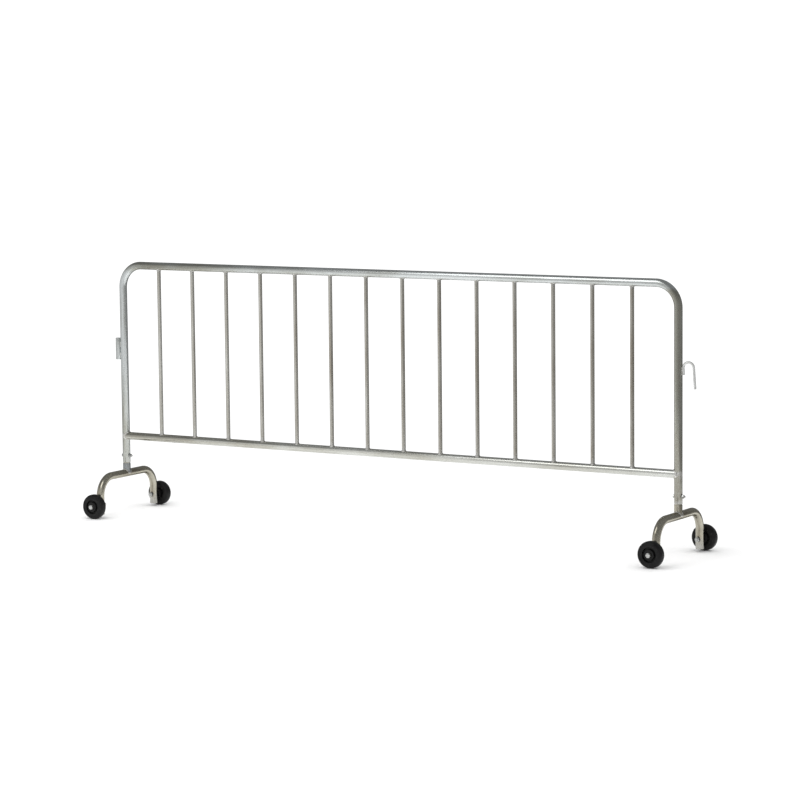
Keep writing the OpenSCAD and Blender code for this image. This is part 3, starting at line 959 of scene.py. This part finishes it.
def studio_floor():
    bm = bmesh.new()
    spread = Matrix.Translation(FLOOR_MIDDLE) @ Matrix.Diagonal((*FLOOR_REACH, 1, 1))
    bmesh.ops.create_grid(bm, x_segments=1, y_segments=1, size=1, matrix=spread)
    mesh = bpy.data.meshes.new("floor")
    bm.to_mesh(mesh)
    bm.free()
    floor = bpy.data.objects.new("floor", mesh)
    bpy.context.scene.collection.objects.link(floor)
    looks = {"Base Color": (0.93, 0.93, 0.93, 1), "Roughness": 0.9, "Specular IOR Level": 0.1}
    mesh.materials.append(surface("pale_floor", looks)[0])


def wall_ramp(tree, turn):
    """The brightness of the walls at a turn from straight ahead, in radians."""
    ramp = tree.nodes.new("ShaderNodeValToRGB")
    tree.links.new(remapped(tree, turn, -pi, pi), ramp.inputs[0])
    elements = ramp.color_ramp.elements
    while len(elements) < len(WALLS):
        elements.new(0.5)
    for element, (angle, _) in zip(elements, WALLS):
        element.position = angle / 360 + 0.5
    for element, (_, level) in zip(elements, WALLS):
        element.color = (level, level, level, 1)
    return ramp.outputs[0]


def studio_surround():
    """White all round for the eye and the floor; for gloss, a dim room with a few pale walls."""
    world = bpy.data.worlds.new("studio")
    bpy.context.scene.world = world
    world.use_nodes = True
    tree = world.node_tree
    tree.nodes.clear()
    place = add(tree, "TexCoord").outputs["Generated"]
    side, ahead, height = add(tree, "SeparateXYZ", {0: place}).outputs
    turn = maths(tree, "ARCTAN2", side, maths(tree, "MULTIPLY", ahead, -1.0))
    room = mixed(tree, remapped(tree, height, *COVE), wall_ramp(tree, turn), CEILING)
    gloss = add(tree, "Background", {"Color": room, "Strength": 1.0}).outputs[0]
    white = add(tree, "Background", {"Color": (1, 1, 1, 1), "Strength": WHITE}).outputs[0]
    glossy = add(tree, "LightPath").outputs["Is Glossy Ray"]
    both = add(tree, "MixShader", {0: glossy, 1: white, 2: gloss}).outputs[0]
    tree.links.new(both, add(tree, "OutputWorld").inputs["Surface"])


def soft_box(name, place, aim, width, height, radiance):
    """A soft box that the camera doesn't see, as bright as the given radiance."""
    light = bpy.data.lights.new(name, "AREA")
    light.shape = "RECTANGLE"
    light.size, light.size_y = width, height
    light.energy = 4 * radiance * width * height
    lamp = bpy.data.objects.new(name, light)
    bpy.context.scene.collection.objects.link(lamp)
    lamp.location = place
    lamp.rotation_euler = (Vector(aim) - Vector(place)).to_track_quat("-Z", "Y").to_euler()
    lamp.visible_camera = False


def studio_lights():
    soft_box("overhead", (-0.6, -2.2, 2.9), (-0.6, 0, 1.0), 1.9, 1.9, 1.8)
    soft_box("left_panel", (-0.98, -1.15, 0.55), (-1.29, 0, 0.55), 1.9, 0.7, 0.28)


# Where the camera stands: its turn round the barrier, its height angle and its roll, with
# distances as shares of the distance between the posts.
AZIMUTH, ELEVATION, ROLL = radians(31.4703), radians(6.4734), radians(-0.5719)
STAND_OFF = 4.5562
AIM_ALONG, AIM_UP = 0.0252, 0.0849
FOCAL_LENGTH, SENSOR = 133.22, 36


def studio_camera():
    aim = Vector(((LEFT_X + RIGHT_X) / 2 + AIM_ALONG * SPACING, 0, RAIL_Z + AIM_UP * SPACING))
    back = Vector((sin(AZIMUTH) * cos(ELEVATION), -cos(AZIMUTH) * cos(ELEVATION), sin(ELEVATION)))
    level = (-back).cross(Vector((0, 0, 1))).normalized()
    up = level.cross(-back)
    across = cos(ROLL) * level + sin(ROLL) * up
    upright = cos(ROLL) * up - sin(ROLL) * level
    place = Matrix((across, upright, back)).transposed().to_4x4()
    place.translation = aim + back * STAND_OFF * SPACING
    lens = bpy.data.cameras.new("camera")
    lens.lens, lens.sensor_width, lens.clip_end = FOCAL_LENGTH, SENSOR, 100
    camera = bpy.data.objects.new("camera", lens)
    bpy.context.scene.collection.objects.link(camera)
    camera.matrix_world = place
    bpy.context.scene.camera = camera


# ---- the whole barrier ----

def tube_finishes():
    """The looks of the frame, the bottom rail, the pickets, the bases and the left stub, which gets
    a darker, bluer copy of the base zinc as painted shade.
    """
    effects = zinc_effect(), level_effect()
    smooth = (0.22, 0.30)
    # The band at the post foot has no weld under it; it greys the foot of the posts.
    frame_zinc = tube_finish("frame_zinc", (0.64, 0.67, 0.67, 1), (0.36, 0.365, 0.32, 1),
                             (0.25, 0.21, 0.17, 1), effects,
                             levels=((RAIL_Z, 0.012), (POST_FOOT, 0.015)), painted_light=frame_painted_light,
                             roughness=smooth)
    rail_zinc = tube_finish("rail_zinc", (0.66, 0.67, 0.64, 1), (0.44, 0.435, 0.38, 1),
                            (0.32, 0.27, 0.22, 1), effects, painted_light=rail_painted_shade, roughness=smooth)
    picket_zinc = tube_finish("picket_zinc", (0.68, 0.68, 0.64, 1), (0.42, 0.395, 0.34, 1),
                              (0.27, 0.22, 0.17, 1), effects,
                              levels=((RAIL_Z + TUBE, 0.02), (TOP_Z - TUBE, 0.014)),
                              painted_light=picket_painted_shade, roughness=smooth, cloud_size=0.2)
    # The band at the foot of the base legs has no weld under it: it is a painted floor reflection.
    base_zinc = tube_finish("base_zinc", (0.52, 0.50, 0.42, 1), (0.25, 0.225, 0.17, 1),
                            (0.20, 0.13, 0.09, 1), effects, levels=((LEG_FOOT, 0.05),),
                            roughness=(0.17, 0.30), cloud_size=0.07)
    # The left stub gets a darker, bluer copy of the base zinc: painted shade.
    stub_zinc_painted_shade = tube_finish("stub_zinc_painted_shade", (0.40, 0.425, 0.44, 1), (0.20, 0.205, 0.20, 1),
                            (0.16, 0.13, 0.10, 1), effects, cloud_size=0.03)
    return frame_zinc, rail_zinc, picket_zinc, base_zinc, stub_zinc_painted_shade


def build():
    frame_zinc, rail_zinc, picket_zinc, base_zinc, stub_zinc_painted_shade = tube_finishes()
    weld, black = weld_finish(), wheel_finish()
    plate = plated_finish("bright_zinc_plate", (0.58, 0.59, 0.58, 1), (0.42, 0.42, 0.40, 1), 0.95)
    rod_plate = plated_finish("white_zinc_rod", (0.80, 0.81, 0.80, 1), (0.62, 0.62, 0.60, 1), 0.72)
    # The wheel washers get a near-black copy of the zinc plate: painted shade.
    painted_shade_plate = plated_finish("washer_painted_shade", (0.12, 0.115, 0.11, 1), (0.05, 0.045, 0.04, 1), 1.0)
    bent_frame_tube(frame_zinc)
    lower_rail(rail_zinc)
    uprights(picket_zinc)
    upright_welds(weld)
    rail_end_welds(weld)
    link_hook(rod_plate)
    hook_beads(weld)
    link_sleeve(frame_zinc)
    sleeve_beads(weld)
    for end in ENDS:
        base_arch(end, base_zinc)
        base_stub(end, stub_zinc_painted_shade if end == "left" else base_zinc)
        base_inner_tube(end, base_zinc)
        for side in SIDES:
            moulded_wheel(end, side, black)
            turning_sleeve(end, side, plate)
            axle_fastener(end, side, plate)
    stub_beads(weld)
    wheel_washers_and_nuts(painted_shade_plate, plate)
    post_fasteners(plate)


studio_camera()
studio_floor()
studio_surround()
studio_lights()
bpy.context.scene.view_settings.view_transform = "Standard"
build()
